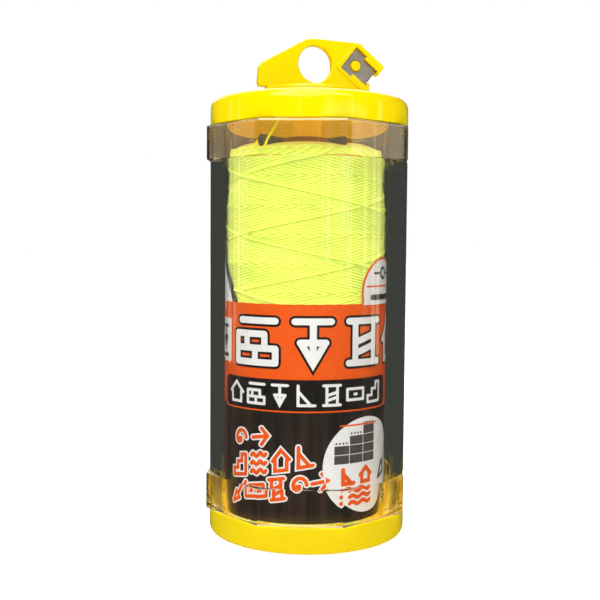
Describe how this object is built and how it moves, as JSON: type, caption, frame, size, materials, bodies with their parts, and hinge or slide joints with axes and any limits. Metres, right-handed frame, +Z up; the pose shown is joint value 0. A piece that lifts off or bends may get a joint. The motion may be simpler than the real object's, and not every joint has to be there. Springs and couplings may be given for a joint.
{
  "type": "builder's line dispenser",
  "caption": "Clear cylindrical dispenser for builder's line, with yellow push-on caps, a hanging tab, a line cutter and a refill spool.",
  "frame": {"origin": "centre of the bottom cap's flat base", "axes": "+Z up along the case's axis, through the lid. The front of the label and the line outlet face -Y, and the cutter blade is towards +X"},
  "size_m": [0.0626, 0.0626, 0.1546],
  "materials": {
    "yellow_plastic": "smooth, semi-gloss",
    "clear_plastic": "clear, lightly smoked plastic, polished",
    "blade_steel": "satin",
    "kraft_board": "matt",
    "fluorescent_line": "fluorescent twisted nylon",
    "printed_film": "printed plastic film"
  },
  "bodies": {
    "base": {"bottom_cap": "yellow_plastic"},
    "case": {"clear_case": "clear_plastic"},
    "lid": {"lid": "yellow_plastic", "cutter_blade": "blade_steel", "line_strand": "fluorescent_line", "line_end_knot": "fluorescent_line"},
    "spool": {"spool_core": "kraft_board", "line_winding": "fluorescent_line", "film_label": "printed_film"}
  },
  "joints": [
    {"name": "case_lift", "type": "slide", "parent": "base", "child": "case", "axis": [0, 0, 1], "range_m": [0, 0.125]},
    {"name": "lid_lift", "type": "slide", "parent": "case", "child": "lid", "axis": [0, 0, 1], "range_m": [0, 0.03], "deforming": ["line_strand"]},
    {"name": "spool_spin", "type": "hinge", "parent": "base", "child": "spool", "pos_m": [-0.0008, 0, 0.01], "axis": [0, 0, 1], "continuous": true}
  ]
}
